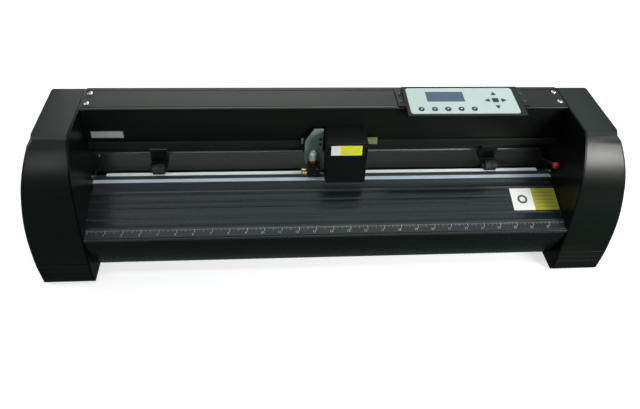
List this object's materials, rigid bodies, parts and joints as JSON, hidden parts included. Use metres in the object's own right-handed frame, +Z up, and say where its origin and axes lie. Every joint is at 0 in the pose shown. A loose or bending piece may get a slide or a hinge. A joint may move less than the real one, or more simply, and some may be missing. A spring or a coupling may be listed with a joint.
{
  "type": "desktop vinyl cutter",
  "caption": "Desktop vinyl cutter: black end caps joined by a beam, belt-driven blade carriage, grit roller with liftable pinch rollers, ruled sloping platen and tilted key panel.",
  "frame": {"origin": "on the table, under the middle of the machine", "axes": "+X to the operator's right, along the beam; +Y to the back; +Z up"},
  "size_m": [0.87, 0.228, 0.2446],
  "materials": {
    "cap_plastic": "fine-grained satin",
    "side_enamel": "gloss black",
    "beam_black": "satin black powder coat",
    "rail_steel": "blackened",
    "bar_steel": "blackened",
    "platen_black": "black anodised",
    "strip_white": "smooth",
    "ruler_black": "anodised with pale marks",
    "tray_black": "semi-gloss black",
    "foot_rubber": "matte",
    "steel": "ground",
    "grit_steel": "knurled bright",
    "motor_dark": "satin",
    "bracket_steel": "zinc plated",
    "belt_rubber": "matte",
    "screw_zinc": "bright zinc",
    "housing_black": "satin",
    "fascia_pale": "satin film",
    "lcd_blue": "gloss",
    "key_dark": "satin",
    "board_green": "solder mask",
    "psu_metal": "galvanised",
    "socket_black": "moulded",
    "label_silver": "satin foil",
    "frame_black": "satin",
    "seal_olive": "felt-faced",
    "cover_black": "satin gloss",
    "coil_dark": "satin",
    "slide_grey": "grey-green enamel",
    "clamp_black": "black anodised",
    "holder_silver": "turned",
    "blade_steel": "ground carbide",
    "knob_brass": "turned and knurled",
    "pulley_alu": "turned",
    "pinch_black": "satin",
    "pinch_rubber": "matte",
    "knob_red": "gloss"
  },
  "bodies": {
    "chassis": {"left_end_cap": "cap_plastic", "right_end_cap": "cap_plastic", "left_side_plate": "side_enamel", "right_side_plate": "side_enamel", "top_beam": "beam_black", "carriage_rail": "rail_steel", "pinch_guide_bar": "bar_steel", "front_platen": "platen_black", "cutting_strip": "strip_white", "ruler_strip": "ruler_black", "front_apron": "tray_black", "rear_platen": "platen_black", "base_tray": "tray_black", "rubber_feet": "foot_rubber", "grit_bearings": "steel", "feed_motor": "motor_dark", "carriage_motor": "motor_dark", "pulley_brackets": "bracket_steel", "carriage_belt": "belt_rubber", "pan_head_screws": "screw_zinc", "control_panel_housing": "housing_black", "panel_fascia": "fascia_pale", "lcd_window": "lcd_blue", "circuit_boards": "board_green", "power_supply": "psu_metal", "power_inlet": "socket_black", "data_port": "socket_black", "labels": "label_silver"},
    "carriage": {"carriage_frame": "frame_black", "slide_seals": "seal_olive", "carriage_cover": "cover_black", "tool_lift_coil": "coil_dark"},
    "tool": {"tool_slide": "slide_grey", "tool_clamp": "clamp_black", "blade_holder": "holder_silver", "blade": "blade_steel"},
    "clamp_knob": {"clamp_knob": "knob_brass"},
    "grit_roller": {"grit_roller": "grit_steel"},
    "drive_pulley": {"drive_pulley": "pulley_alu"},
    "idler_pulley": {"idler_pulley": "pulley_alu"},
    "lift_lever": {"lift_shaft": "steel", "lift_lever": "pinch_black", "lever_knob": "knob_red"},
    "power_rocker": {"power_rocker": "socket_black"},
    "pinch_holder_left": {"pinch_holder_left": "pinch_black"},
    "pinch_arm_left": {"pinch_arm_left": "pinch_black"},
    "pinch_roller_left": {"pinch_roller_left": "pinch_rubber"},
    "pinch_holder_right": {"pinch_holder_right": "pinch_black"},
    "pinch_arm_right": {"pinch_arm_right": "pinch_black"},
    "pinch_roller_right": {"pinch_roller_right": "pinch_rubber"},
    "key_round_1": {"key_round_1": "key_dark"},
    "key_round_2": {"key_round_2": "key_dark"},
    "key_round_3": {"key_round_3": "key_dark"},
    "key_round_4": {"key_round_4": "key_dark"},
    "key_round_5": {"key_round_5": "key_dark"},
    "key_up": {"key_up": "key_dark"},
    "key_down": {"key_down": "key_dark"},
    "key_left": {"key_left": "key_dark"},
    "key_right": {"key_right": "key_dark"},
    "key_centre": {"key_centre": "key_dark"}
  },
  "joints": [
    {"name": "carriage_travel", "type": "slide", "parent": "chassis", "child": "carriage", "axis": [1, 0, 0], "range_m": [-0.31, 0.272]},
    {"name": "tool_stroke", "type": "slide", "parent": "carriage", "child": "tool", "axis": [0, 0, 1], "range_m": [-0.003, 0], "stiffness_N_per_m": 900, "springref_m": 0.002},
    {"name": "clamp_knob_turn", "type": "hinge", "parent": "tool", "child": "clamp_knob", "pos_m": [-0.04, -0.0145, 0.134], "axis": [1, 0, 0], "range_deg": [0, 540]},
    {"name": "grit_spin", "type": "hinge", "parent": "chassis", "child": "grit_roller", "pos_m": [0, 0.0025, 0.1133], "axis": [1, 0, 0], "continuous": true},
    {"name": "drive_pulley_spin", "type": "hinge", "parent": "chassis", "child": "drive_pulley", "pos_m": [-0.383, 0.017, 0.172], "axis": [0, 1, 0], "continuous": true},
    {"name": "idler_pulley_spin", "type": "hinge", "parent": "chassis", "child": "idler_pulley", "pos_m": [0.383, 0.017, 0.172], "axis": [0, 1, 0], "continuous": true},
    {"name": "lever_lift", "type": "hinge", "parent": "chassis", "child": "lift_lever", "pos_m": [0, 0.038, 0.137], "axis": [1, 0, 0], "range_deg": [-25, 0]},
    {"name": "pinch_shift_left", "type": "slide", "parent": "chassis", "child": "pinch_holder_left", "axis": [1, 0, 0], "range_m": [-0.055, 0.19]},
    {"name": "pinch_lift_left", "type": "hinge", "parent": "pinch_holder_left", "child": "pinch_arm_left", "pos_m": [-0.26, 0.024, 0.133], "axis": [1, 0, 0], "range_deg": [-10, 0]},
    {"name": "pinch_spin_left", "type": "hinge", "parent": "pinch_arm_left", "child": "pinch_roller_left", "pos_m": [-0.26, 0.0025, 0.1292], "axis": [1, 0, 0], "continuous": true},
    {"name": "pinch_shift_right", "type": "slide", "parent": "chassis", "child": "pinch_holder_right", "axis": [1, 0, 0], "range_m": [-0.19, 0.055]},
    {"name": "pinch_lift_right", "type": "hinge", "parent": "pinch_holder_right", "child": "pinch_arm_right", "pos_m": [0.26, 0.024, 0.133], "axis": [1, 0, 0], "range_deg": [-10, 0]},
    {"name": "pinch_spin_right", "type": "hinge", "parent": "pinch_arm_right", "child": "pinch_roller_right", "pos_m": [0.26, 0.0025, 0.1292], "axis": [1, 0, 0], "continuous": true},
    {"name": "key_round_1_press", "type": "slide", "parent": "chassis", "child": "key_round_1", "axis": [0, 0.0958, -0.9954], "range_m": [0, 0.0007], "stiffness_N_per_m": 300, "springref_m": -0.0004},
    {"name": "key_round_2_press", "type": "slide", "parent": "chassis", "child": "key_round_2", "axis": [0, 0.0958, -0.9954], "range_m": [0, 0.0007], "stiffness_N_per_m": 300, "springref_m": -0.0004},
    {"name": "key_round_3_press", "type": "slide", "parent": "chassis", "child": "key_round_3", "axis": [0, 0.0958, -0.9954], "range_m": [0, 0.0007], "stiffness_N_per_m": 300, "springref_m": -0.0004},
    {"name": "key_round_4_press", "type": "slide", "parent": "chassis", "child": "key_round_4", "axis": [0, 0.0958, -0.9954], "range_m": [0, 0.0007], "stiffness_N_per_m": 300, "springref_m": -0.0004},
    {"name": "key_round_5_press", "type": "slide", "parent": "chassis", "child": "key_round_5", "axis": [0, 0.0958, -0.9954], "range_m": [0, 0.0007], "stiffness_N_per_m": 300, "springref_m": -0.0004},
    {"name": "key_up_press", "type": "slide", "parent": "chassis", "child": "key_up", "axis": [0, 0.0958, -0.9954], "range_m": [0, 0.0007], "stiffness_N_per_m": 300, "springref_m": -0.0004},
    {"name": "key_down_press", "type": "slide", "parent": "chassis", "child": "key_down", "axis": [0, 0.0958, -0.9954], "range_m": [0, 0.0007], "stiffness_N_per_m": 300, "springref_m": -0.0004},
    {"name": "key_left_press", "type": "slide", "parent": "chassis", "child": "key_left", "axis": [0, 0.0958, -0.9954], "range_m": [0, 0.0007], "stiffness_N_per_m": 300, "springref_m": -0.0004},
    {"name": "key_right_press", "type": "slide", "parent": "chassis", "child": "key_right", "axis": [0, 0.0958, -0.9954], "range_m": [0, 0.0007], "stiffness_N_per_m": 300, "springref_m": -0.0004},
    {"name": "key_centre_press", "type": "slide", "parent": "chassis", "child": "key_centre", "axis": [0, 0.0958, -0.9954], "range_m": [0, 0.0007], "stiffness_N_per_m": 300, "springref_m": -0.0004},
    {"name": "power_rocker_tip", "type": "hinge", "parent": "chassis", "child": "power_rocker", "pos_m": [0.431, 0.0655, 0.062], "axis": [0, 1, 0], "range_deg": [-25, 0]}
  ],
  "couplings": [
    {"joint": "drive_pulley_spin", "follows": "carriage_travel", "rad_per_m": -148.15},
    {"joint": "idler_pulley_spin", "follows": "carriage_travel", "rad_per_m": -148.15},
    {"joint": "pinch_spin_left", "follows": "grit_spin", "ratio": -0.925},
    {"joint": "pinch_spin_right", "follows": "grit_spin", "ratio": -0.925},
    {"joint": "pinch_lift_left", "follows": "lever_lift", "ratio": 0.4},
    {"joint": "pinch_lift_right", "follows": "lever_lift", "ratio": 0.4}
  ]
}
